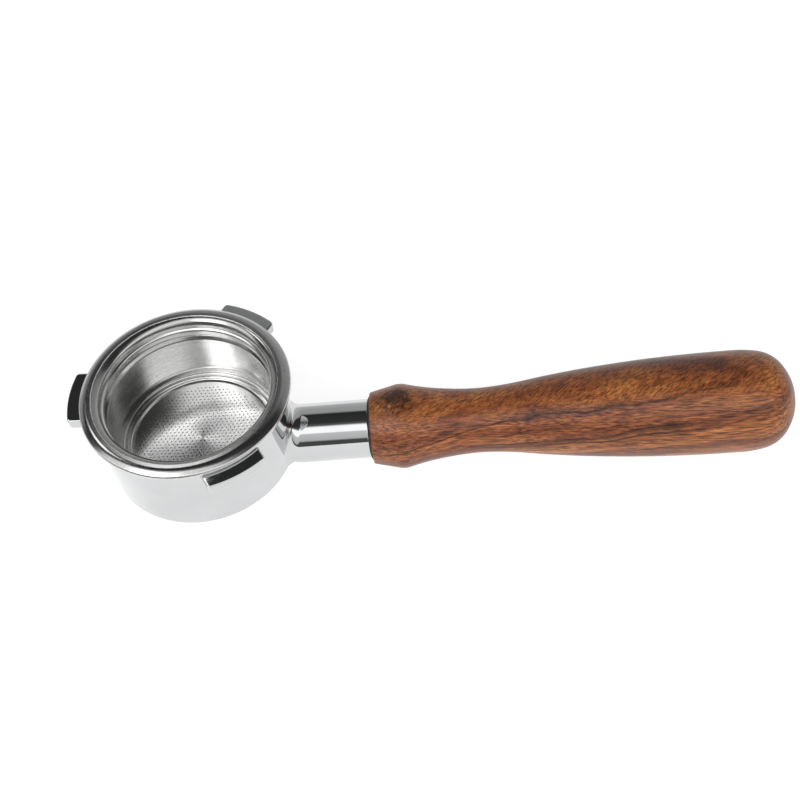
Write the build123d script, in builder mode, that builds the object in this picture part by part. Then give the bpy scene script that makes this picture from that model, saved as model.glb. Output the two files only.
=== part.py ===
from build123d import *
import math
import os

# Bottomless portafilter, millimetres. The origin is the centre of the ring's base on the cup axis,
# +Z runs up the cup axis and +X runs along the handle, whose own axis rises slightly towards its end.

# Driving dimensions
RIM_R = 32.5  # basket rim: 65 mm across
HEAD_H = 32.0  # base of the ring to the top of the rim
OVERALL_L = 226.0  # tip of the rear lug to the end of the grip

# Holder ring
RING_R = 30.2
RING_H = 29.35  # the face under the rim
BORE_R = 27.2
BASE_ROUND = 1.8
EDGE_BREAK = 0.4

# Bayonet lugs: one opposite the neck, two at 60 degrees to it
LUG_R = 36.5
LUG_W = 18.6
LUG_T = 4.0
LUG_BAR_L = 12.0  # each lug is cut from a bar of this length, trimmed to the ring and to LUG_R
LUG_CORNER = 1.0
LUG_UNDER_ROUND = 1.2
LUG_COUNT = 3
LUG_FIRST_DEG = 60

# Retention spring, an open wire ring in a groove of the bore
WIRE_R = 0.5
SPRING_Z = 26.5
SPRING_R = 27.55  # centre of the wire
SPRING_OPEN_DEG = 24
GROOVE_R = 28.15
GROOVE_HALF_W = 0.7

# Handle axis: it crosses the cup axis near the base and rises along the handle
HANDLE_TILT_DEG = 2.2
HANDLE_Z = 2.4

# Neck: a round bar whose underside rises in a toe to the ring's base; lengths are along the handle
NECK_R = 9.6
NECK_START = 26.0
NECK_END = 55.0
NECK_FILLET = 3.5
NECK_END_BREAK = 0.3
TOE_R = 29.5  # where the toe leaves the base
TOE_DROP = 9.5  # the toe slopes down by this much over the same length
TOE_ROUND = 2.0

# Basket: one pressed sheet, sizes of its middle surface
SHEET = 0.6
RIM_TOP_Z = HEAD_H - SHEET / 2
RIM_MID_R = RIM_R - SHEET / 2
MOUTH_Z = 30.5  # top of the straight part of the mouth
CROWN_R = (27.9, 30.4)
CROWN_EDGE_Z = 30.5
CURL_Z = 29.7
CURL_END_R = 28.4
SHOULDER_R = 26.55
SHOULDER_Z = 28.2
SHOULDER_DROP = 0.5  # height of the cone under the shoulder
WALL_R = 25.9
BEAD_R = 26.5
BEAD_Z = 24.7
BEAD_FLAT = 0.6
BEAD_SPREAD = 1.0  # height of each flank of the bead
TROUGH_R = 24.7
TROUGH_Z = 5.2
CREST_R = (22.9, 23.8)
CREST_Z = 5.8
CREST_RUN = 0.5  # width of the crest's inner flank
PLATE_R = 21.8
PLATE_Z = 4.7
PLATE_DISH = 0.9
BASE_CORNERS = (0.35, 0.4, 0.4, 0.5, 0.95)  # plate edge, crest and trough, from the middle outwards
BEAD_CORNERS = (0.6, 0.35, 0.35, 0.6)  # upwards
RIM_CORNERS = (0.4, 0.4, 1.5, 2.2, 3.0, 0.8, 0.35)  # cone, shoulder, mouth, crown, edge and curl

# Perforations, in rows half a pitch out of step
HOLE_R = 0.22
HOLE_PITCH = 1.36
HOLE_FIELD_R = 20.4

# Handle hardware
STUD_R = 4.9
STUD_HOLE_R = 5.0
STUD_HOLE_DEPTH = 18.0
STUD_LENGTH = 56.0
STUD_END_GAP = 1.0
STUD_CHAMFER = 0.8
WASHER_R = 10.2
WASHER_T = 0.6
INSERT_R = 7.0
INSERT_LENGTH = 24.0
INSERT_SET_BACK = 1.0  # the insert sits this deep in the grip
INSERT_SEAM = 0.02

# Turned grip, radii at distances along the handle
GRIP_BORE_DEPTH = 42.0
GRIP_FRONT_R = 11.6
RIDGE_X = (64.4, 66.2)  # a short land with a crisp edge at each side
RIDGE_R = 13.7
RIDGE_SLOPE = -0.25  # just behind the land
NAPE_X = 78.5
NAPE_R = 11.25
WAIST_X = 89.0
WAIST_R = 10.45
SWELL_X = 99.5
SWELL_R = 10.99
FLANK_X = 125.0
FLANK_R = 14.2
PALM_X = 146.0
PALM_R = 15.75
BELLY_X = 168.0
BELLY_R = 16.3
HEEL_X = 181.4
HEEL_R = 14.95
NOSE_X = 186.5
NOSE_R = 10.6

tilt = math.radians(HANDLE_TILT_DEG)
handle_direction = (math.cos(tilt), 0, math.sin(tilt))
handle_side = Plane(origin=(0, 0, HANDLE_Z), x_dir=handle_direction, z_dir=(0, -1, 0))
handle_axis = Axis(origin=(0, 0, HANDLE_Z), direction=handle_direction)

GRIP_START = NECK_END + WASHER_T
GRIP_END = (OVERALL_L - LUG_R) / math.cos(tilt)
STUD_START = NECK_END - STUD_HOLE_DEPTH + STUD_END_GAP
INSERT_START = GRIP_START + INSERT_SET_BACK

os.makedirs("parts", exist_ok=True)


def across_handle(distance):
    """A plane across the handle, this far along its axis from the cup axis."""
    return Plane(handle_side.from_local_coords((distance, 0, 0)), x_dir=(0, 1, 0), z_dir=handle_direction)


def hole_centres():
    """Centres of the perforations: every place of the staggered grid inside the round field."""
    row_gap = HOLE_PITCH * math.sqrt(3) / 2
    reach = int(HOLE_FIELD_R / row_gap) + 1
    places = []
    for row in range(-reach, reach + 1):
        stagger = HOLE_PITCH / 2 * (row % 2)
        for column in range(-reach, reach + 1):
            x, y = column * HOLE_PITCH + stagger, row * row_gap
            if math.hypot(x, y) < HOLE_FIELD_R:
                places.append((x, y))
    return places


# Holder: one casting with the ring, the neck and the lugs
with BuildPart() as holder_body:
    with BuildSketch(across_handle(NECK_START)):
        Circle(NECK_R)
    extrude(amount=NECK_END - NECK_START)
    with BuildSketch(Plane.XZ):
        with BuildLine():
            Polyline(
                (0, RING_H),
                (0, 0),
                (TOE_R, 0),
                (TOE_R + TOE_DROP, -TOE_DROP),
                (2 * NECK_END, -TOE_DROP),
                (2 * NECK_END, RING_H),
                close=True,
            )
        make_face()
    extrude(amount=NECK_END, both=True, mode=Mode.INTERSECT)
    toe_edge = [
        edge
        for edge in holder_body.edges()
        if TOE_R < edge.center().X < NECK_END and abs(edge.center().Y) < NECK_R / 2 and edge.center().Z < 0
    ]
    fillet(toe_edge, TOE_ROUND)

    with BuildSketch(Plane.XZ):
        with BuildLine():
            Line((0, 0), (RING_R - BASE_ROUND, 0))
            RadiusArc((RING_R - BASE_ROUND, 0), (RING_R, BASE_ROUND), -BASE_ROUND)
            Polyline(
                (RING_R, BASE_ROUND),
                (RING_R, RING_H - EDGE_BREAK),
                (RING_R - EDGE_BREAK, RING_H),
                (0, RING_H),
                (0, 0),
            )
        make_face()
    revolve(axis=Axis.Z)
    neck_seam = [
        edge
        for edge in holder_body.edges()
        if BORE_R < edge.center().X < RING_R + NECK_FILLET
        and abs(edge.center().Y) < NECK_R
        and EDGE_BREAK / 2 < edge.center().Z < RING_H / 2
    ]
    fillet(neck_seam, NECK_FILLET)

    with BuildSketch(Plane.XY.offset(RING_H - LUG_T)):
        with PolarLocations(LUG_R - LUG_T, LUG_COUNT, start_angle=LUG_FIRST_DEG):
            Rectangle(LUG_BAR_L, LUG_W)
        Circle(LUG_R, mode=Mode.INTERSECT)
        corners = [corner for corner in vertices() if math.hypot(corner.X, corner.Y) > RING_R]
        fillet(corners, LUG_CORNER)
    extrude(amount=LUG_T)
    lug_rims = [
        edge
        for edge in holder_body.edges().filter_by(GeomType.CIRCLE)
        if edge.radius > RING_R + EDGE_BREAK and edge.center().Z < RING_H - LUG_T / 2
    ]
    fillet(lug_rims, LUG_UNDER_ROUND)

    with BuildSketch(Plane.XY.offset(-TOE_DROP)):
        Circle(BORE_R)
    extrude(amount=TOE_DROP + RING_H, mode=Mode.SUBTRACT)
    outlet = [
        edge
        for edge in holder_body.edges().filter_by(GeomType.CIRCLE)
        if abs(edge.center().Z) < EDGE_BREAK / 2 and edge.radius < BORE_R + EDGE_BREAK
    ]
    chamfer(outlet, EDGE_BREAK)
    with BuildSketch(Plane.XZ):
        with Locations(((BORE_R + GROOVE_R) / 2, SPRING_Z)):
            Rectangle(GROOVE_R - BORE_R, 2 * GROOVE_HALF_W)
    revolve(axis=Axis.Z, mode=Mode.SUBTRACT)
    with BuildSketch(across_handle(NECK_END)):
        Circle(STUD_HOLE_R)
    extrude(amount=-STUD_HOLE_DEPTH, mode=Mode.SUBTRACT)
    end_face = holder_body.faces().sort_by(Axis.X)[-1]
    chamfer(end_face.edges(), NECK_END_BREAK)
holder_body.part.label = "holder_body"
export_step(holder_body.part, "parts/holder_body.step")

# Retention spring: round wire bent to an open ring, its gap over the neck
with BuildPart() as retention_spring:
    with BuildLine() as spring_path:
        CenterArc((0, 0, SPRING_Z), SPRING_R, SPRING_OPEN_DEG / 2, 360 - SPRING_OPEN_DEG)
    with BuildSketch(Plane(origin=spring_path.line @ 0, z_dir=spring_path.line % 0)):
        Circle(WIRE_R)
    sweep()
retention_spring.part.label = "retention_spring"
export_step(retention_spring.part, "parts/retention_spring.step")

# Basket: the sheet's middle line from the plate's centre to the curled edge, traced and revolved
with BuildPart() as filter_basket:
    with BuildSketch(Plane.XZ):
        with BuildLine():
            dish = TangentArc((0, PLATE_Z - PLATE_DISH), (PLATE_R, PLATE_Z), tangent=(1, 0))
            dish_slope = (dish % 1).Y / (dish % 1).X
            plate_edge_r = CREST_R[0] - CREST_RUN
            FilletPolyline(
                dish @ 1,
                (plate_edge_r, PLATE_Z + dish_slope * (plate_edge_r - PLATE_R)),
                (CREST_R[0], CREST_Z),
                (CREST_R[1], CREST_Z),
                (TROUGH_R, TROUGH_Z),
                (WALL_R, TROUGH_Z),
                (WALL_R, BEAD_Z - BEAD_FLAT / 2 - BEAD_SPREAD),
                (BEAD_R, BEAD_Z - BEAD_FLAT / 2),
                (BEAD_R, BEAD_Z + BEAD_FLAT / 2),
                (WALL_R, BEAD_Z + BEAD_FLAT / 2 + BEAD_SPREAD),
                (WALL_R, SHOULDER_Z - SHOULDER_DROP),
                (SHOULDER_R, SHOULDER_Z),
                (SHOULDER_R, MOUTH_Z),
                (CROWN_R[0], RIM_TOP_Z),
                (CROWN_R[1], RIM_TOP_Z),
                (RIM_MID_R, CROWN_EDGE_Z),
                (RIM_MID_R, CURL_Z),
                (CURL_END_R, CURL_Z),
                radius=[*BASE_CORNERS, *BEAD_CORNERS, *RIM_CORNERS],
            )
        trace(line_width=SHEET)
    revolve(axis=Axis.Z)
    with BuildSketch(Plane.XY.offset(PLATE_Z - PLATE_DISH - SHEET)):
        with Locations(*hole_centres()):
            Circle(HOLE_R)
    extrude(amount=PLATE_DISH + 2 * SHEET, mode=Mode.SUBTRACT)
filter_basket.part.label = "filter_basket"
export_step(filter_basket.part, "parts/filter_basket.step")

# Stud that joins the neck and the grip
with BuildPart() as handle_stud:
    with BuildSketch(across_handle(STUD_START)):
        Circle(STUD_R)
    extrude(amount=STUD_LENGTH)
    chamfer(handle_stud.edges().filter_by(GeomType.CIRCLE), STUD_CHAMFER)
handle_stud.part.label = "handle_stud"
export_step(handle_stud.part, "parts/handle_stud.step")

# Washer between the neck and the grip
with BuildPart() as handle_washer:
    with BuildSketch(across_handle(NECK_END)):
        Circle(WASHER_R)
        Circle(STUD_HOLE_R, mode=Mode.SUBTRACT)
    extrude(amount=WASHER_T)
handle_washer.part.label = "handle_washer"
export_step(handle_washer.part, "parts/handle_washer.step")

# Threaded insert pressed into the grip
with BuildPart() as handle_insert:
    with BuildSketch(across_handle(INSERT_START)):
        Circle(INSERT_R)
        Circle(STUD_HOLE_R, mode=Mode.SUBTRACT)
    extrude(amount=INSERT_LENGTH)
handle_insert.part.label = "handle_insert"
export_step(handle_insert.part, "parts/handle_insert.step")

# Grip: one turned piece of wood with a blind bore
with BuildPart() as handle_grip:
    with BuildSketch(handle_side):
        with BuildLine():
            Polyline(
                (GRIP_END, 0),
                (GRIP_START, 0),
                (GRIP_START, GRIP_FRONT_R),
                (RIDGE_X[0], RIDGE_R),
                (RIDGE_X[1], RIDGE_R),
            )
            Spline(
                (RIDGE_X[1], RIDGE_R),
                (NAPE_X, NAPE_R),
                (WAIST_X, WAIST_R),
                (SWELL_X, SWELL_R),
                (FLANK_X, FLANK_R),
                (PALM_X, PALM_R),
                (BELLY_X, BELLY_R),
                tangents=((1, RIDGE_SLOPE), (1, 0)),
            )
            Spline(
                (BELLY_X, BELLY_R),
                (HEEL_X, HEEL_R),
                (NOSE_X, NOSE_R),
                (GRIP_END, 0),
                tangents=((1, 0), (0, -1)),
            )
        make_face()
    revolve(axis=handle_axis)
    with BuildSketch(across_handle(GRIP_START)):
        Circle(INSERT_R + INSERT_SEAM)
    extrude(amount=INSERT_SET_BACK + INSERT_LENGTH, mode=Mode.SUBTRACT)
    with BuildSketch(across_handle(GRIP_START)):
        Circle(STUD_HOLE_R)
    extrude(amount=GRIP_BORE_DEPTH, mode=Mode.SUBTRACT)
handle_grip.part.label = "handle_grip"
export_step(handle_grip.part, "parts/handle_grip.step")
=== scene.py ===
import math

import bpy
import numpy as np
from mathutils import Matrix, Vector, geometry


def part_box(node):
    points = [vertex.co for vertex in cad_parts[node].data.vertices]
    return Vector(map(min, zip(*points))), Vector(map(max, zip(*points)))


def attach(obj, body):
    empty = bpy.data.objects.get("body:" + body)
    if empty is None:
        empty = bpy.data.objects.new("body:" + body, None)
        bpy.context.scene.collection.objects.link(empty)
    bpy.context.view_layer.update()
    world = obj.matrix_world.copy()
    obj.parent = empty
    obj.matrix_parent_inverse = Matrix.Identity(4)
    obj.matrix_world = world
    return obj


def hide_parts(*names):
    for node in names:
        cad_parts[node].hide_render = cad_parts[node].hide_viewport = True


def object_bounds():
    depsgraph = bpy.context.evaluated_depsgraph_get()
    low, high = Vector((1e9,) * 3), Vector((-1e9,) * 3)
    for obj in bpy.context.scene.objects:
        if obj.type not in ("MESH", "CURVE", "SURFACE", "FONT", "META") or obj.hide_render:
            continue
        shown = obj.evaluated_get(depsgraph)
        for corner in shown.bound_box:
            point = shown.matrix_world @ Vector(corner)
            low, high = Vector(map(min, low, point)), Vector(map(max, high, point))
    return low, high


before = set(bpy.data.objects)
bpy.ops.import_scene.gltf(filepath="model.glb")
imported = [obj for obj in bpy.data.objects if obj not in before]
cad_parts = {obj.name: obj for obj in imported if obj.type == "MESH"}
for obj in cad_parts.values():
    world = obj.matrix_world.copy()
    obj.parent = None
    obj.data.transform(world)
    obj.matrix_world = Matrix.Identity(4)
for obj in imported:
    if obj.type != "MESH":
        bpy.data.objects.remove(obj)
cad_low, cad_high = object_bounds()

# Sizes are in millimetres here and turned to metres where a mesh is made.
MM = 0.001
holder_low, holder_high = (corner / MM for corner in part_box("holder_body"))
basket_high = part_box("filter_basket")[1] / MM
washer_low, washer_high = (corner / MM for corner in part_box("handle_washer"))
grip_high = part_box("handle_grip")[1] / MM
insert_low, insert_high = (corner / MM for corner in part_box("handle_insert"))
spring_low, spring_high = (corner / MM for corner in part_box("retention_spring"))
TURNS = 384  # facets round everything turned

# The handle's axis runs through the middles of the washer and the insert.
washer_middle = (washer_low + washer_high) / 2
insert_middle = (insert_low + insert_high) / 2
HANDLE = np.array((insert_middle - washer_middle).normalized())
HANDLE_UP = np.array((-HANDLE[2], 0.0, HANDLE[0]))
HANDLE_ORIGIN = np.array(washer_middle) - HANDLE * washer_middle.x / HANDLE[0]  # on the cup axis
WASHER_T = 0.6
NECK_END = washer_middle.x / HANDLE[0] - WASHER_T / 2  # distances along the handle, from the cup axis
GRIP_START = NECK_END + WASHER_T
GRIP_END = grip_high.x / HANDLE[0]


# ---------------------------------------------------------------- mesh helpers


def add_piece(name, points, faces, normals, body, replaced, slot, *materials):
    """A smooth mesh from points and normals in millimetres that stands for a CAD node."""
    mesh = bpy.data.meshes.new(name)
    mesh.from_pydata((np.asarray(points) * MM).tolist(), [], faces)
    mesh.polygons.foreach_set("use_smooth", [True] * len(mesh.polygons))
    mesh.validate()
    if normals is not None:
        mesh.normals_split_custom_set_from_vertices(np.asarray(normals).tolist())
    piece = bpy.data.objects.new(name, mesh)
    bpy.context.scene.collection.objects.link(piece)
    for material in materials:
        piece.data.materials.append(material)
    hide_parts(replaced)
    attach(piece, body)
    return piece


def rounded_path(corners, radii, steps=10):
    """Points and left-hand normals of an open path whose inner corners are arcs of the given radii."""
    points = [np.array(corner, float) for corner in corners]
    path, normals = [], []

    def put(point, direction):
        path.append(point)
        normals.append(np.array((-direction[1], direction[0])))

    def heading(start, end):
        return (end - start) / np.linalg.norm(end - start)

    put(points[0], heading(points[0], points[1]))
    for index, radius in enumerate(radii, start=1):
        before = heading(points[index - 1], points[index])
        after = heading(points[index], points[index + 1])
        turn = math.atan2(before[0] * after[1] - before[1] * after[0], float(before @ after))
        start = points[index] - before * radius * math.tan(abs(turn) / 2)
        side = math.copysign(1.0, turn)
        centre = start + side * radius * np.array((-before[1], before[0]))
        for step in range(steps + 1):
            angle = turn * step / steps
            spin = np.array(((math.cos(angle), -math.sin(angle)), (math.sin(angle), math.cos(angle))))
            put(centre + spin @ (start - centre), spin @ before)
    put(points[-1], heading(points[-2], points[-1]))
    return np.array(path), np.array(normals)


def lathe(path, normals, closed=False, turns=TURNS):
    """Turns (radius, height) points about +Z. Returns points, faces and normals, with no end caps."""
    angles = np.arange(turns) * 2 * math.pi / turns
    cosine, sine = np.cos(angles)[None, :], np.sin(angles)[None, :]

    def spin(pairs):
        radius, height = pairs[:, :1], pairs[:, 1:]
        return np.stack((radius * cosine, radius * sine, height + 0 * cosine), axis=2).reshape(-1, 3)

    rows = len(path)
    faces = []
    for row in range(rows if closed else rows - 1):
        low, high = row * turns, (row + 1) % rows * turns
        for turn in range(turns):
            after = (turn + 1) % turns
            faces.append((low + turn, low + after, high + after, high + turn))
    return spin(path), faces, spin(normals)


def along_handle(points, normals):
    """Lays a shape lathed about +Z on the handle's axis, its heights now distances along the handle."""

    def lay(triples):
        across, sideways, ahead = triples[:, :1], triples[:, 1:2], triples[:, 2:]
        return ahead * HANDLE + sideways * np.array((0.0, 1.0, 0.0)) - across * HANDLE_UP

    return HANDLE_ORIGIN + lay(points), lay(normals)


# ------------------------------------------------------------------- materials


class Nodes:
    """Short calls for building the nodes of a material or of the world."""

    def __init__(self, owner):
        owner.use_nodes = True
        self.owner = owner
        self.tree = owner.node_tree
        self.shader = self.tree.nodes.get("Principled BSDF")

    def add(self, kind, **settings):
        node = self.tree.nodes.new(kind)
        for key, value in settings.items():
            setattr(node, key, value)
        return node

    def plug(self, source, socket):
        if isinstance(source, (int, float, tuple)):
            socket.default_value = source
        else:
            self.tree.links.new(source, socket)

    def math(self, operation, first, second=0.0, third=0.0):
        node = self.add("ShaderNodeMath", operation=operation)
        for value, socket in zip((first, second, third), node.inputs):
            self.plug(value, socket)
        return node.outputs[0]

    def combine(self, x, y, z):
        node = self.add("ShaderNodeCombineXYZ")
        for value, socket in zip((x, y, z), node.inputs):
            self.plug(value, socket)
        return node.outputs[0]

    def place(self):
        """The point's X, Y and Z in the object's frame, in metres."""
        coordinates = self.add("ShaderNodeTexCoord").outputs["Object"]
        split = self.add("ShaderNodeSeparateXYZ")
        self.plug(coordinates, split.inputs[0])
        return split.outputs

    def dot(self, vector, weights):
        node = self.add("ShaderNodeVectorMath", operation="DOT_PRODUCT")
        self.plug(vector, node.inputs[0])
        self.plug(weights, node.inputs[1])
        return node.outputs["Value"]

    def noise(self, vector, scale, detail=2.0, roughness=0.5, distortion=0.0):
        node = self.add("ShaderNodeTexNoise")
        self.plug(vector, node.inputs["Vector"])
        node.inputs["Scale"].default_value = scale
        node.inputs["Detail"].default_value = detail
        node.inputs["Roughness"].default_value = roughness
        node.inputs["Distortion"].default_value = distortion
        return node.outputs["Fac"]

    def ramp(self, factor, *stops):
        """A colour ramp with (position, grey or colour) stops."""
        node = self.add("ShaderNodeValToRGB")
        elements = node.color_ramp.elements
        while len(elements) < len(stops):
            elements.new(0.5)
        for element, (position, value) in zip(elements, stops):
            element.position = position
            colour = value if isinstance(value, tuple) else (value, value, value)
            element.color = (*colour, 1.0)
        self.plug(factor, node.inputs["Fac"])
        return node.outputs["Color"]

    def mix(self, factor, first, second, blend="MIX"):
        node = self.add("ShaderNodeMix", data_type="RGBA", blend_type=blend)
        self.plug(factor, node.inputs["Factor"])
        for value, socket in zip((first, second), (node.inputs[6], node.inputs[7])):
            self.plug((*value, 1.0) if isinstance(value, tuple) else value, socket)
        return node.outputs[2]

    def bump(self, height, strength, distance):
        node = self.add("ShaderNodeBump")
        node.inputs["Strength"].default_value = strength
        node.inputs["Distance"].default_value = distance
        self.plug(height, node.inputs["Height"])
        self.plug(node.outputs["Normal"], self.shader.inputs["Normal"])

    def set(self, **values):
        for name, value in values.items():
            self.plug(value, self.shader.inputs[name.replace("_", " ")])

    def turned(self, fine):
        """Coordinates that run with the lathe marks: slow round the cup axis, fast across."""
        x, y, z = self.place()
        radius = self.math("SQRT", self.math("ADD", self.math("POWER", x, 2.0), self.math("POWER", y, 2.0)))
        angle = self.math("ARCTAN2", y, x)
        return self.combine(angle, self.math("MULTIPLY", radius, fine), self.math("MULTIPLY", z, fine))


def polished_casting():
    """Bright chrome on a polished casting, with faint waviness and a few fine wipe marks."""
    n = Nodes(bpy.data.materials.new("polished_casting_chrome"))
    x, y, z = n.place()
    spot = n.combine(x, y, z)
    haze = n.noise(spot, 60.0, 3.0)
    marks = n.noise(n.combine(x, n.math("MULTIPLY", y, 4.0), z), 900.0, 2.0)
    roughness = n.math("MULTIPLY_ADD", haze, 0.05, 0.015)
    roughness = n.math("MULTIPLY_ADD", n.math("GREATER_THAN", marks, 0.68), 0.03, roughness)
    n.set(Base_Color=n.ramp(haze, (0.3, (0.56, 0.57, 0.575)), (0.7, (0.61, 0.618, 0.622))))
    n.set(Metallic=1.0, Roughness=roughness)
    n.bump(n.noise(spot, 160.0, 1.0), 0.05, 0.0002)
    return n.owner


def satin_steel():
    """Spun stainless sheet: satin with soft mottling, faint spinning marks and slow cloudy patches, and a
    painted dark reflection over the rim's crown.
    """
    n = Nodes(bpy.data.materials.new("satin_steel_spun"))
    x, y, z = n.place()
    spot = n.combine(x, y, z)
    marks = n.noise(n.turned(2600.0), 1.0, 2.0, 0.5)
    clouds = n.noise(spot, 90.0, 2.0)
    mottle = n.noise(spot, 1500.0, 3.0, 0.6)
    tone = n.math("ADD", n.math("MULTIPLY", marks, 0.35), n.math("MULTIPLY", mottle, 0.65))
    sheet = n.ramp(tone, (0.34, (0.58, 0.58, 0.575)), (0.66, (0.71, 0.708, 0.70)))
    # painted dark reflection: the colour is darkened over the top of the rim to stand for the dark
    # surroundings it mirrors
    crown_painted_dark = n.ramp(n.math("MULTIPLY", z, 1.0 / (RIM_TOP * MM)), (0.950, 1.0), (0.975, 0.60))
    n.set(Base_Color=n.mix(1.0, sheet, crown_painted_dark, "MULTIPLY"))
    roughness = n.math("MULTIPLY_ADD", clouds, 0.08, 0.10)
    n.set(Metallic=1.0, Roughness=n.math("MULTIPLY_ADD", mottle, 0.08, roughness))
    n.set(Anisotropic=0.6)
    tangent = n.add("ShaderNodeTangent", direction_type="RADIAL", axis="Z")
    n.plug(tangent.outputs[0], n.shader.inputs["Tangent"])
    n.bump(mottle, 0.03, 0.00005)
    return n.owner


def hole_walls_painted_dark():
    """Walls of the punched holes, rough, their colour painted near-black as the shade inside the holes."""
    n = Nodes(bpy.data.materials.new("hole_walls_painted_shade"))
    x, y, z = n.place()
    grain = n.noise(n.combine(x, y, z), 3000.0, 2.0)
    # painted shade: near-black colour standing for the dark inside the small holes
    n.set(Base_Color=n.ramp(grain, (0.3, (0.015, 0.015, 0.014)), (0.7, (0.05, 0.05, 0.048))))
    n.set(Metallic=0.6, Roughness=n.math("MULTIPLY_ADD", grain, 0.2, 0.6))
    return n.owner


def spring_wire():
    """Drawn wire with lengthwise marks."""
    n = Nodes(bpy.data.materials.new("spring_wire_drawn"))
    marks = n.noise(n.turned(14000.0), 1.0, 2.0)
    n.set(Base_Color=n.ramp(marks, (0.3, (0.42, 0.42, 0.42)), (0.7, (0.60, 0.60, 0.59))))
    n.set(Metallic=1.0, Roughness=n.math("MULTIPLY_ADD", marks, 0.2, 0.2))
    return n.owner


def plain_metal(name, dark, light, roughness):
    """Plated or plain turned metal on the handle's axis, for the pieces inside the handle."""
    n = Nodes(bpy.data.materials.new(name))
    x, y, z = n.place()
    marks = n.noise(n.combine(n.math("MULTIPLY", x, 12.0), y, z), 700.0, 3.0)
    n.set(Base_Color=n.ramp(marks, (0.3, dark), (0.7, light)))
    n.set(Metallic=1.0, Roughness=n.math("MULTIPLY_ADD", marks, 0.15, roughness))
    return n.owner


def dark_washer():
    """Black rubber-faced washer with a dry, slightly dusty edge; its near-black colour is also painted shade
    for the dark line where neck and grip meet.
    """
    n = Nodes(bpy.data.materials.new("washer_rubber_and_painted_shade"))
    x, y, z = n.place()
    grain = n.noise(n.combine(x, y, z), 2500.0, 3.0)
    # partly painted shade: the washer's own black, kept near-black to give the shadow line at the joint
    n.set(Base_Color=n.ramp(grain, (0.3, (0.010, 0.010, 0.010)), (0.8, (0.035, 0.033, 0.032))))
    n.set(Roughness=n.math("MULTIPLY_ADD", grain, 0.2, 0.45))
    n.bump(grain, 0.2, 0.00005)
    return n.owner


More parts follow.
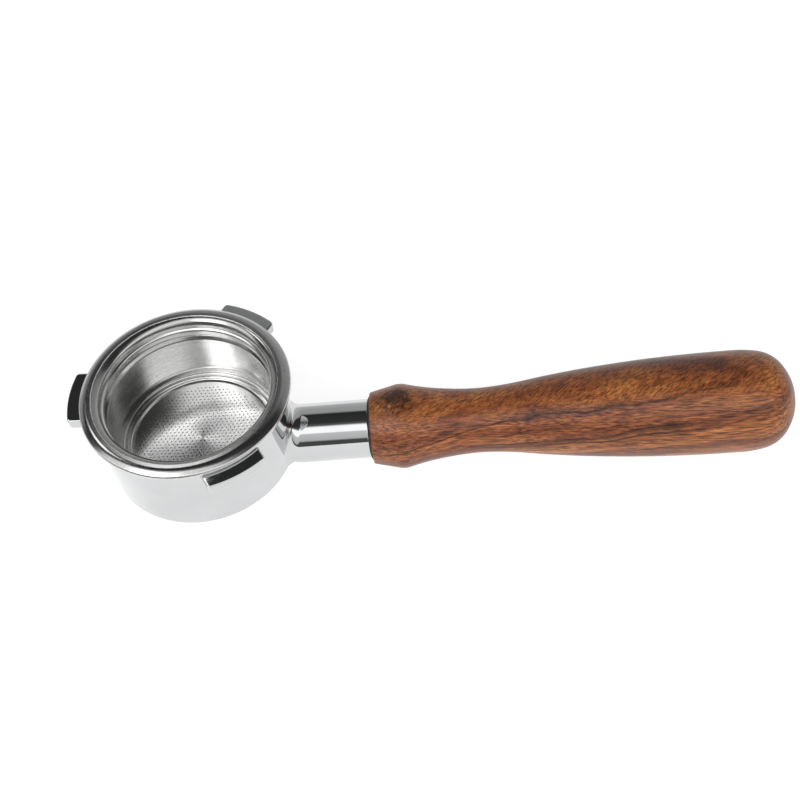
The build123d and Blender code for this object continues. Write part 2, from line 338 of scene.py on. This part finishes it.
def oiled_wood():
    """Rosewood: orange-brown ground, near-black veins along the grip, slanting fibres on top, fine pores,
    and painted shade darkening the top and back.
    """
    n = Nodes(bpy.data.materials.new("oiled_rosewood"))
    x, y, z = n.place()
    spot = n.combine(x, y, z)

    # growth layers lie nearly level and sink towards the grip's end; slow noise along the grain bends them
    bend = n.noise(n.combine(n.math("MULTIPLY", x, 0.35), y, z), 70.0, 3.0, 0.5)
    level = n.dot(spot, (-0.155, 0.0, 1.0))
    layer = n.math("MULTIPLY_ADD", n.math("SUBTRACT", bend, 0.5), 0.007, n.math("SUBTRACT", level, 0.0024))
    along = n.math("MULTIPLY", x, 0.07)
    broad = n.noise(n.combine(layer, along, n.math("MULTIPLY", y, 0.15)), 190.0, 2.0, 0.5)
    lines = n.noise(n.combine(layer, along, n.math("MULTIPLY", y, 0.12)), 1000.0, 4.0, 0.65)

    # veins: dark dips at a few layers between 20 mm under the axis and 10 mm over it, fading in and out
    veins = n.ramp(
        n.math("MULTIPLY_ADD", layer, 1000.0 / 30.0, 20.0 / 30.0),
        (0.08, 1.0),
        (0.09, 0.35),
        (0.105, 1.0),
        (0.20, 1.0),
        (0.215, 0.30),
        (0.24, 1.0),
        (0.29, 0.8),
        (0.305, 0.15),
        (0.32, 0.9),
        (0.355, 0.25),
        (0.37, 1.0),
        (0.44, 1.0),
        (0.455, 0.55),
        (0.47, 1.0),
        (0.543, 1.0),
        (0.556, 0.05),
        (0.571, 0.88),
        (0.62, 1.0),
        (0.80, 1.0),
        (0.815, 0.35),
        (0.83, 1.0),
    )
    fade = n.noise(n.combine(n.math("MULTIPLY", x, 0.5), n.math("MULTIPLY", y, 0.4), layer), 90.0, 2.0)
    # 0 on the lower side of the grip, 1 on the side towards the back and top, where the veins are fainter
    backward = n.dot(spot, (-0.9, 24.0, 18.0))
    upper = n.ramp(backward, (0.02, 0.0), (0.20, 1.0))
    strength = n.ramp(fade, (0.37, 0.30), (0.52, 0.95))
    strength = n.math("MULTIPLY", strength, n.math("MULTIPLY_ADD", upper, -0.55, 1.0))

    # short slanting fibres over the top, long ones along the lower side
    along_fibre = n.math("MULTIPLY", n.dot(spot, (0.82, 0.57, 0.10)), 0.20)
    slant = n.combine(along_fibre, n.dot(spot, (-0.57, 0.82, 0.0)), n.math("MULTIPLY", z, 0.6))
    short = n.noise(slant, 2300.0, 3.0, 0.62, 0.4)
    long = n.noise(n.combine(n.math("MULTIPLY", x, 0.06), n.math("MULTIPLY", y, 0.8), z), 2700.0, 3.0, 0.6)
    fibre = n.mix(upper, long, short)
    pores = n.noise(n.combine(n.math("MULTIPLY", x, 0.10), y, z), 3600.0, 2.0, 0.5)

    # a dark knot in the top of the ridge
    knot_x, knot_y = n.math("SUBTRACT", x, 0.0635), n.math("SUBTRACT", y, 0.0015)
    knot_far = n.math("SQRT", n.math("ADD", n.math("POWER", knot_x, 2.0), n.math("POWER", knot_y, 2.0)))
    knot_far = n.math("MULTIPLY_ADD", n.noise(spot, 420.0, 3.0, 0.65), 0.010, knot_far)
    knot = n.ramp(n.math("MULTIPLY", knot_far, 100.0), (0.85, 0.22), (1.1, 1.0))
    knot = n.mix(n.math("LESS_THAN", z, 0.006), knot, (1.0, 1.0, 1.0))

    ground = n.ramp(
        n.math("ADD", n.math("MULTIPLY", broad, 0.6), n.math("MULTIPLY", lines, 0.4)),
        (0.30, (0.062, 0.018, 0.011)),
        (0.43, (0.160, 0.048, 0.019)),
        (0.52, (0.245, 0.084, 0.028)),
        (0.66, (0.400, 0.170, 0.055)),
    )
    colour = n.mix(strength, ground, veins, "MULTIPLY")
    streaks = n.ramp(
        fibre,
        (0.36, (0.32, 0.25, 0.24)),
        (0.50, (0.90, 0.88, 0.86)),
        (0.64, (1.60, 1.50, 1.20)),
    )
    colour = n.mix(1.0, colour, streaks, "MULTIPLY")
    pits = n.ramp(pores, (0.30, (0.45, 0.38, 0.36)), (0.42, (1.0, 1.0, 1.0)))
    colour = n.mix(0.75, colour, pits, "MULTIPLY")
    colour = n.mix(1.0, colour, knot, "MULTIPLY")
    # painted shade: the colour is darkened towards the top and back of the grip, where less light falls
    painted_top_shade = n.ramp(backward, (0.12, (1.0, 1.0, 1.0)), (0.36, (0.72, 0.66, 0.60)))
    colour = n.mix(1.0, colour, painted_top_shade, "MULTIPLY")
    n.set(Base_Color=colour)
    n.set(Roughness=n.math("MULTIPLY_ADD", fibre, 0.16, 0.34))
    n.set(Specular_IOR_Level=0.30, Coat_Weight=0.15, Coat_Roughness=0.25)
    n.bump(n.math("ADD", pores, n.math("MULTIPLY", fibre, 0.5)), 0.12, 0.0002)
    return n.owner


# ---------------------------------------------------------------- filter basket

RIM_R, RIM_TOP = basket_high.x, basket_high.z
SHEET = 0.6
HALF_SHEET = SHEET / 2
PLATE_R, PLATE_DROP, PLATE_DISH = 21.8, 27.3, 0.9  # the plate's edge, its depth under the rim, its dish
PLATE_Z = RIM_TOP - PLATE_DROP
FIELD_EDGE = 21.0  # the perforated disc is meshed inside this radius
HOLE_R, HOLE_PITCH, HOLE_FIELD_R = 0.22, 1.36, 20.4
HOLE_SIDES = 10


def dish_height(radius):
    """Height of the plate's middle surface."""
    return PLATE_Z - PLATE_DISH + PLATE_DISH * (radius / PLATE_R) ** 2


def dish_normal(radius):
    """Upward normal of the plate in (radius, height)."""
    slope = 2 * PLATE_DISH * radius / PLATE_R**2
    return np.array((-slope, 1.0)) / math.hypot(slope, 1.0)


def basket_middle():
    """The sheet's middle line from the perforated disc to the end of the curl, with upward normals."""
    rim_top, rim_r = RIM_TOP - HALF_SHEET, RIM_R - HALF_SHEET
    wall_r, bead_r, shoulder_r = 25.9, 26.5, 26.55
    crest_z, trough_z = RIM_TOP - 26.2, RIM_TOP - 26.8
    bead_low, bead_high, shoulder_z = RIM_TOP - 7.6, RIM_TOP - 7.0, RIM_TOP - 3.8
    edge_r = 22.4
    corners = [
        (FIELD_EDGE, dish_height(FIELD_EDGE)),
        (edge_r, dish_height(edge_r)),
        (22.9, crest_z),
        (23.8, crest_z),
        (24.7, trough_z),
        (wall_r, trough_z),
        (wall_r, bead_low - 1.0),
        (bead_r, bead_low),
        (bead_r, bead_high),
        (wall_r, bead_high + 1.0),
        (wall_r, shoulder_z - 0.5),
        (shoulder_r, shoulder_z),
        (shoulder_r, RIM_TOP - 1.5),
        (27.9, rim_top),
        (30.4, rim_top),
        (rim_r, RIM_TOP - 1.5),
        (rim_r, RIM_TOP - 2.3),
        (28.4, RIM_TOP - 2.3),
    ]
    radii = [0.35, 0.4, 0.4, 0.5, 0.95, 0.6, 0.35, 0.35, 0.6, 0.4, 0.4, 1.5, 2.2, 3.0, 0.8, 0.35]
    return rounded_path(corners, radii)


def hole_centres():
    """Every place of the staggered grid inside the round field."""
    row_gap = HOLE_PITCH * math.sqrt(3) / 2
    reach = int(HOLE_FIELD_R / row_gap) + 1
    for row in range(-reach, reach + 1):
        for column in range(-reach, reach + 1):
            x = column * HOLE_PITCH + HOLE_PITCH / 2 * (row % 2)
            y = row * row_gap
            if math.hypot(x, y) < HOLE_FIELD_R:
                yield x, y


def perforated_disc():
    """Triangles of the flat disc between the holes: plane points, loops of the holes, and faces."""
    flat, edges, owner, loops = [], [], [], []

    def add_loop(centre, radius, sides, number):
        first = len(flat)
        for side in range(sides):
            angle = 2 * math.pi * side / sides
            flat.append(Vector((centre[0] + radius * math.cos(angle), centre[1] + radius * math.sin(angle))))
            edges.append((first + side, first + (side + 1) % sides))
            owner.append(number)
        loops.append(range(first, first + sides))

    add_loop((0.0, 0.0), FIELD_EDGE, TURNS, -1)
    for number, centre in enumerate(hole_centres()):
        add_loop(centre, HOLE_R, HOLE_SIDES, number)
    faces = geometry.delaunay_2d_cdt(flat, edges, [], 0, 1e-7)[2]
    kept = []
    for face in faces:
        owners = {owner[corner] for corner in face}
        if len(owners) > 1 or owners == {-1}:
            kept.append(tuple(face))
    return np.array(flat), loops, kept


def build_basket(sheet_material, hole_material):
    """The pressed sheet with its curled rim and the perforated plate, as one closed skin."""
    middle, up = basket_middle()
    tip, tip_normal = middle[-1], up[-1]
    cap = [math.pi * step / 8 for step in range(1, 8)]
    forward = np.array((tip_normal[1], -tip_normal[0]))
    cap_normals = np.array([math.cos(a) * tip_normal + math.sin(a) * forward for a in cap])
    upper, under = middle + HALF_SHEET * up, middle - HALF_SHEET * up
    path = np.concatenate((upper, tip + HALF_SHEET * cap_normals, under[::-1]))
    path_normals = np.concatenate((up, cap_normals, -up[::-1]))
    points, faces, normals = lathe(path, path_normals)
    faces = [face[::-1] for face in faces]

    flat, loops, triangles = perforated_disc()
    count = len(flat)
    radius = np.hypot(flat[:, 0], flat[:, 1])
    lean = np.array([dish_normal(r) for r in radius])
    outward = flat / np.maximum(radius, 1e-6)[:, None]
    disc_normals = np.column_stack((outward * lean[:, :1], lean[:, 1]))
    height = dish_height(radius)
    base = len(points)
    disc = np.column_stack((flat, height))
    points = np.concatenate((points, disc + HALF_SHEET * disc_normals, disc - HALF_SHEET * disc_normals))
    normals = np.concatenate((normals, disc_normals, -disc_normals))

    # the disc's rim uses the lathe's own first and last rows, so that the sheet is one closed skin
    last_row = (len(path) - 1) * TURNS
    top = {index: index for index in loops[0]}
    low = {index: last_row + index for index in loops[0]}
    for index in range(TURNS, count):
        top[index], low[index] = base + index, base + count + index
    for face in triangles:
        faces.append(tuple(top[corner] for corner in face))
        faces.append(tuple(low[corner] for corner in face[::-1]))
    first_wall = len(faces)
    for loop in loops[1:]:
        for here, after in zip(loop, [*loop[1:], loop[0]]):
            faces.append((top[here], top[after], low[after], low[here]))

    used = sorted({corner for face in faces for corner in face})
    renumber = {old: new for new, old in enumerate(used)}
    faces = [tuple(renumber[corner] for corner in face) for face in faces]
    piece = add_piece(
        "basket_sheet",
        points[used],
        faces,
        normals[used],
        "basket",
        "filter_basket",
        "satin_steel",
        sheet_material,
        hole_material,
    )
    for face in piece.data.polygons[first_wall:]:
        face.material_index = 1
    return piece


# ------------------------------------------------------------------ holder body

RING_R, RING_TOP, BORE_R = 30.2, holder_high.z, 27.2
LUG_R, LUG_ROOT, LUG_HALF_W, LUG_T = -holder_low.x, 20.0, 9.3, 4.0
NECK_R, NECK_START, NECK_FILLET = 9.6, 22.0, 3.3
TOE_R, TOE_ROUND = 29.5, 2.0
BASE_ROUND = 1.8
GROOVE_R, GROOVE_HALF_W = 28.15, 0.7
SPRING_Z = (spring_low.z + spring_high.z) / 2
STUD_HOLE_R, STUD_HOLE_DEPTH = 5.0, 18.0


def both(first, second, radius):
    """Inside both shapes, the edge between them rounded."""
    beyond = np.hypot(np.maximum(first + radius, 0), np.maximum(second + radius, 0))
    return np.minimum(np.maximum(first, second), -radius) + beyond


def either(first, second, radius):
    """Inside either shape, the corner between them filled with a fillet."""
    near = np.hypot(np.maximum(radius - first, 0), np.maximum(radius - second, 0))
    return np.maximum(np.minimum(first, second), radius) - near


def holder_distance(point):
    """Signed distance, about true near the surface, to the casting: ring, neck, lugs, bore and groove."""
    x, y, z = point.T
    rho = np.hypot(x, y)

    # solid puck of the ring with its rounded base
    puck = both(rho - RING_R, -z, BASE_ROUND)

    # neck: a round bar along the handle whose underside rises in a toe to the ring's base
    along = (point - HANDLE_ORIGIN) @ HANDLE
    rise = (point - HANDLE_ORIGIN) @ HANDLE_UP
    neck = np.hypot(y, rise) - NECK_R
    neck = both(neck, along - NECK_END, 0.4)
    toe = either(-z, (TOE_R - x - z) / math.sqrt(2), 1.0)
    neck = np.maximum(both(neck, toe, TOE_ROUND), NECK_START - along)

    # the fillet fades out towards the base, where the two surfaces run the same way
    height = np.clip(z / 2.4, 0, 1)
    fillet = 0.15 + (NECK_FILLET - 0.15) * height * height * (3 - 2 * height)
    body = either(puck, neck, fillet)

    for degrees in (60, 180, 300):
        cosine, sine = math.cos(math.radians(degrees)), math.sin(math.radians(degrees))
        side = np.abs(-x * sine + y * cosine) - LUG_HALF_W
        plan = both(rho - LUG_R, side, 1.0)
        plan = np.maximum(plan, LUG_ROOT - (x * cosine + y * sine))
        lug = both(plan, RING_TOP - LUG_T - z, 0.9)
        body = either(body, lug, 0.5)

    body = both(body, z - RING_TOP, 0.45)
    body = both(body, BORE_R - rho, 0.3)
    groove = np.maximum(rho - GROOVE_R, np.abs(z - SPRING_Z) - GROOVE_HALF_W)
    body = both(body, -groove, 0.12)
    stud_hole = np.maximum(np.hypot(y, rise) - STUD_HOLE_R, NECK_END - STUD_HOLE_DEPTH - along)
    return both(body, -stud_hole, 0.3)


def gradient(point):
    """Gradient of holder_distance by central differences."""
    step = 0.01
    slopes = []
    for axis in range(3):
        shift = np.zeros(3)
        shift[axis] = step
        slopes.append((holder_distance(point + shift) - holder_distance(point - shift)) / (2 * step))
    return np.stack(slopes, axis=1)


def settle(point, rounds):
    """Moves points onto the casting's surface."""
    for _ in range(rounds):
        slope = gradient(point)
        length = np.maximum((slope**2).sum(axis=1), 0.05)
        step = holder_distance(point) / length
        point = point - np.clip(step, -0.4, 0.4)[:, None] * slope
    return point


def build_holder(material):
    """The casting: an even mesh over the CAD solid, relaxed and settled onto the exact rounded shape."""
    voxel = 0.26
    cad = bpy.data.objects.new("casting_base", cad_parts["holder_body"].data.copy())
    bpy.context.scene.collection.objects.link(cad)
    remesh = cad.modifiers.new("even", "REMESH")
    remesh.mode = "VOXEL"
    remesh.voxel_size = voxel * MM
    even = bpy.data.meshes.new_from_object(cad.evaluated_get(bpy.context.evaluated_depsgraph_get()))
    bpy.data.objects.remove(cad)

    count = len(even.vertices)
    point = np.empty(count * 3)
    even.vertices.foreach_get("co", point)
    point = point.reshape(-1, 3) / MM
    ends = np.empty(len(even.edges) * 2, np.int64)
    even.edges.foreach_get("vertices", ends)
    first, second = ends.reshape(-1, 2).T
    faces = [tuple(face.vertices) for face in even.polygons]
    links = np.bincount(first, minlength=count) + np.bincount(second, minlength=count)

    point = settle(point, 8)
    for _ in range(6):
        pull = np.zeros_like(point)
        for axis in range(3):
            pull[:, axis] = np.bincount(first, point[second, axis], count)
            pull[:, axis] += np.bincount(second, point[first, axis], count)
        pull = pull / links[:, None] - point
        slope = gradient(point)
        slope /= np.maximum(np.linalg.norm(slope, axis=1), 1e-6)[:, None]
        point = point + 0.5 * (pull - (pull * slope).sum(axis=1)[:, None] * slope)
        point = settle(point, 2)
    point = settle(point, 3)
    slope = gradient(point)
    slope /= np.maximum(np.linalg.norm(slope, axis=1), 1e-6)[:, None]
    return add_piece("casting", point, faces, slope, "holder", "holder_body", "polished_casting", material)


# ----------------------------------------------------------------------- handle


def build_washer(material):
    """Flat washer with rounded edges between the neck and the grip."""
    outer, inner = washer_high.y, STUD_HOLE_R
    low, high = NECK_END, GRIP_START
    middle = (low + high) / 2
    corners = [(inner, middle), (inner, low), (outer, low), (outer, high), (inner, high), (inner, middle)]
    path, normals = rounded_path(corners, [0.1, 0.2, 0.2, 0.1], 6)
    points, faces, normals = lathe(path[:-1], -normals[:-1], closed=True)
    points, normals = along_handle(points, normals)
    return add_piece("washer", points, faces, normals, "holder", "handle_washer", "dark_washer", material)


RIDGE_R, LAND_START, LAND_END = 13.68, 64.4, 66.2  # the ridge near the grip's front and its narrow land


def grip_swell():
    """(distance along the handle, radius) of the turned outside, from the ridge to the end."""
    return [
        (LAND_END, RIDGE_R),
        (72.0, 12.3),
        (78.5, 11.25),
        (89.0, 10.45),
        (99.5, 10.99),
        (112.0, 12.7),
        (125.0, 14.2),
        (146.0, 15.75),
        (168.0, 16.3),
        (176.0, 16.1),
        (181.4, 14.95),
        (184.6, 12.9),
        (186.5, 10.6),
        (188.4, 7.0),
        (GRIP_END, 0.0),
    ]


def smooth_curve(points, steps):
    """A centripetal Catmull-Rom curve through the points, its ends taken as straight."""
    points = [np.array(p, float) for p in points]
    points = [2 * points[0] - points[1], *points, 2 * points[-1] - points[-2]]
    result = []
    for p0, p1, p2, p3 in zip(points, points[1:], points[2:], points[3:]):
        t0 = 0.0
        t1 = t0 + np.linalg.norm(p1 - p0) ** 0.5
        t2 = t1 + np.linalg.norm(p2 - p1) ** 0.5
        t3 = t2 + np.linalg.norm(p3 - p2) ** 0.5
        for step in range(steps):
            t = t1 + (t2 - t1) * step / steps
            a1 = (t1 - t) / (t1 - t0) * p0 + (t - t0) / (t1 - t0) * p1
            a2 = (t2 - t) / (t2 - t1) * p1 + (t - t1) / (t2 - t1) * p2
            a3 = (t3 - t) / (t3 - t2) * p2 + (t - t2) / (t3 - t2) * p3
            b1 = (t2 - t) / (t2 - t0) * a1 + (t - t0) / (t2 - t0) * a2
            b2 = (t3 - t) / (t3 - t1) * a2 + (t - t1) / (t3 - t1) * a3
            result.append((t2 - t) / (t2 - t1) * b1 + (t - t1) / (t2 - t1) * b2)
    result.append(points[-2])
    return np.array(result)


def build_spring(material):
    """Open wire ring with rounded ends, its gap over the neck."""
    wire_r = (spring_high.z - spring_low.z) / 2
    bend_r = spring_high.y - wire_r
    gap = math.radians(24) / 2
    sides, stations = 20, 260
    rings = []
    for station in range(stations + 1):
        angle = gap + (2 * math.pi - 2 * gap) * station / stations
        rings.append((angle, wire_r))
    dome = [(0.1, 0.995), (0.35, 0.94), (0.6, 0.8), (0.85, 0.53), (0.97, 0.24)]
    start = [(gap - depth * wire_r / bend_r, share * wire_r) for depth, share in reversed(dome)]
    finish = [(2 * math.pi - angle, radius) for angle, radius in reversed(start)]
    rings = start + rings + finish
    points, faces = [], []
    for angle, radius in rings:
        centre = np.array((bend_r * math.cos(angle), bend_r * math.sin(angle), SPRING_Z))
        outward = np.array((math.cos(angle), math.sin(angle), 0.0))
        for side in range(sides):
            turn = 2 * math.pi * side / sides
            spoke = math.cos(turn) * outward + math.sin(turn) * np.array((0, 0, 1.0))
            points.append(centre + radius * spoke)
    for ring in range(len(rings) - 1):
        for side in range(sides):
            after = (side + 1) % sides
            low, high = ring * sides, (ring + 1) * sides
            faces.append((low + side, low + after, high + after, high + side))
    faces.append(tuple(range(sides))[::-1])
    faces.append(tuple(range((len(rings) - 1) * sides, len(rings) * sides)))
    faces = [face[::-1] for face in faces]
    return add_piece(
        "spring_ring", points, faces, None, "holder", "retention_spring", "spring_wire", material
    )


def build_grip(material):
    """Turned grip with its chamfered front, crisp land, bore and insert seat."""
    front = GRIP_START
    swell = smooth_curve([(radius, along) for along, radius in grip_swell()], 12)
    seat_r, bore_r, front_r = 7.02, 5.0, 11.6
    seat_end, bore_end = front + 25.0, front + 42.0
    inside = [(0.0, bore_end), (bore_r, bore_end), (bore_r, seat_end), (seat_r, seat_end), (seat_r, front)]
    outside = [(front_r, front), (RIDGE_R, LAND_START), (RIDGE_R, LAND_END), tuple(swell[3])]
    path, normals = rounded_path(inside + outside, [0.3, 0.2, 0.2, 0.3, 0.35, 0.5, 0.7], 5)
    swell = swell[3:]
    ahead = np.gradient(swell, axis=0)
    ahead /= np.linalg.norm(ahead, axis=1)[:, None]
    swell_normals = np.column_stack((-ahead[:, 1], ahead[:, 0]))
    path = np.concatenate((path[1:-1], swell[1:-1]))
    normals = np.concatenate((normals[1:-1], swell_normals[1:-1]))
    points, faces, normals = lathe(path, -normals)
    # the bore's floor and the very end close on the axis
    rows = len(path)
    points = np.concatenate((points, [(0, 0, bore_end), (0, 0, GRIP_END)]))
    normals = np.concatenate((normals, [(0, 0, -1), (0, 0, 1)]))
    floor_tip, end_tip = rows * TURNS, rows * TURNS + 1
    for turn in range(TURNS):
        after = (turn + 1) % TURNS
        faces.append((floor_tip, after, turn))
        faces.append((end_tip, (rows - 1) * TURNS + turn, (rows - 1) * TURNS + after))
    points, normals = along_handle(points, normals)
    return add_piece("grip", points, faces, normals, "holder", "handle_grip", "oiled_wood", material)


# ----------------------------------------------------------------- studio, view

VIEW_AZIMUTH, VIEW_ELEVATION, VIEW_ROLL = 2.112, 53.269, 4.711  # degrees
VIEW_DISTANCE = 304.33  # along the view axis to the centre of the rim
RIM_LEFT, RIM_UP = 65.72, 4.348  # how far that centre lies left of and above the view axis


def make_camera():
    azimuth, elevation, roll = map(math.radians, (VIEW_AZIMUTH, VIEW_ELEVATION, VIEW_ROLL))
    back = Vector(
        (
            math.sin(azimuth) * math.cos(elevation),
            -math.cos(azimuth) * math.cos(elevation),
            math.sin(elevation),
        )
    )
    level = (-back).cross(Vector((0, 0, 1))).normalized()
    down = (-back).cross(level)
    right = math.cos(roll) * level + math.sin(roll) * down
    up = math.sin(roll) * level - math.cos(roll) * down
    rim_centre = Vector((0, 0, RIM_TOP))
    place = rim_centre + RIM_LEFT * right - RIM_UP * up + VIEW_DISTANCE * back
    camera = bpy.data.cameras.new("camera")
    camera.lens, camera.sensor_width = 45, 36
    camera.clip_start, camera.clip_end = 0.01, 20
    holder = bpy.data.objects.new("camera", camera)
    bpy.context.scene.collection.objects.link(holder)
    holder.matrix_world = Matrix.Translation(place * MM) @ Matrix((right, up, back)).transposed().to_4x4()
    bpy.context.scene.camera = holder


def make_floor():
    """Pale floor just under the object's lowest point, open when seen from below."""
    half = 3.0
    level = cad_low.z - 0.0003
    mesh = bpy.data.meshes.new("floor")
    corners = [(-half, -half, level), (half, -half, level), (half, half, level), (-half, half, level)]
    mesh.from_pydata(corners, [], [(0, 1, 2, 3)])
    floor = bpy.data.objects.new("floor", mesh)
    bpy.context.scene.collection.objects.link(floor)
    n = Nodes(bpy.data.materials.new("floor_paper"))
    n.set(Base_Color=(0.28, 0.28, 0.28, 1.0), Roughness=0.9, Specular_IOR_Level=0.0)
    n.set(Emission_Color=(1.0, 1.0, 1.0, 1.0), Emission_Strength=0.82)
    clear = n.add("ShaderNodeBsdfTransparent")
    turn = n.add("ShaderNodeMixShader")
    n.plug(n.add("ShaderNodeNewGeometry").outputs["Backfacing"], turn.inputs[0])
    n.plug(n.shader.outputs[0], turn.inputs[1])
    n.plug(clear.outputs[0], turn.inputs[2])
    n.plug(turn.outputs[0], n.tree.nodes["Material Output"].inputs["Surface"])
    mesh.materials.append(n.owner)


def make_world():
    """Studio surroundings as bands of brightness over the sky, from the front horizon up and to the back."""
    world = bpy.data.worlds.new("studio")
    bpy.context.scene.world = world
    n = Nodes(world)
    direction = n.add("ShaderNodeTexCoord").outputs["Generated"]
    split = n.add("ShaderNodeSeparateXYZ")
    n.plug(direction, split.inputs[0])
    x, y, z = split.outputs
    # 0 at the front horizon, 0.5 straight up, 1 at the back horizon, all shifted a little from left to right
    sweep = n.math("DIVIDE", n.math("ARCTAN2", z, n.math("MULTIPLY", y, -1.0)), math.pi)
    side = n.math("MINIMUM", n.math("MAXIMUM", n.math("ADD", x, 0.10), -0.3), 0.3)
    sweep = n.math("MULTIPLY_ADD", side, 0.20, sweep)
    bands = n.ramp(
        sweep,
        (0.000, 0.06),
        (0.085, 0.05),
        (0.120, 0.42),
        (0.255, 0.52),
        (0.275, 1.00),
        (0.385, 1.00),
        (0.425, 0.10),
        (0.480, 0.03),
        (0.690, 0.02),
        (0.740, 0.28),
        (0.860, 0.30),
        (1.000, 0.42),
    )
    below = n.math("LESS_THAN", z, 0.0)
    tone = n.mix(below, bands, (0.5, 0.5, 0.5))
    background = n.tree.nodes["Background"]
    n.plug(tone, background.inputs["Color"])
    background.inputs["Strength"].default_value = 1.6


def soft_box(name, place, aim, size, watts, seen=True):
    """A rectangular area light aimed at a point; an unseen one leaves no reflection."""
    lamp = bpy.data.lights.new(name, "AREA")
    lamp.shape = "RECTANGLE"
    lamp.size, lamp.size_y = size
    lamp.energy = watts
    box = bpy.data.objects.new(name, lamp)
    bpy.context.scene.collection.objects.link(box)
    box.location = place
    box.rotation_mode = "QUATERNION"
    box.rotation_quaternion = (Vector(aim) - Vector(place)).to_track_quat("-Z", "Y")
    box.visible_glossy = seen


def light_studio():
    make_world()
    soft_box("front_fill", (0.1, -0.9, 0.95), (0.06, 0.0, 0.0), (1.5, 1.1), 13.0, seen=False)
    soft_box("rim_strip", (-0.091, 0.16, 0.33), (-0.091, 0.16, 0.0), (0.04, 0.11), 0.05)
    soft_box("left_box", (-0.25, 0.11, 0.33), (-0.25, 0.11, 0.0), (0.11, 0.10), 0.12)
    soft_box("front_left", (-0.26, -0.30, 0.41), (0.06, 0.0, 0.01), (0.26, 0.26), 0.6)


make_camera()
make_floor()
light_studio()

build_basket(satin_steel(), hole_walls_painted_dark())
build_holder(polished_casting())
build_spring(spring_wire())
build_washer(dark_washer())
build_grip(oiled_wood())

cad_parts["handle_stud"].data.materials.clear()
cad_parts["handle_stud"].data.materials.append(
    plain_metal("plated_stud_zinc", (0.46, 0.47, 0.49), (0.62, 0.63, 0.65), 0.3)
)
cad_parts["handle_insert"].data.materials.clear()
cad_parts["handle_insert"].data.materials.append(
    plain_metal("insert_brass_turned", (0.62, 0.44, 0.18), (0.80, 0.60, 0.30), 0.3)
)

bpy.context.scene.view_settings.view_transform = "Standard"
bpy.context.scene.view_settings.look = "None"
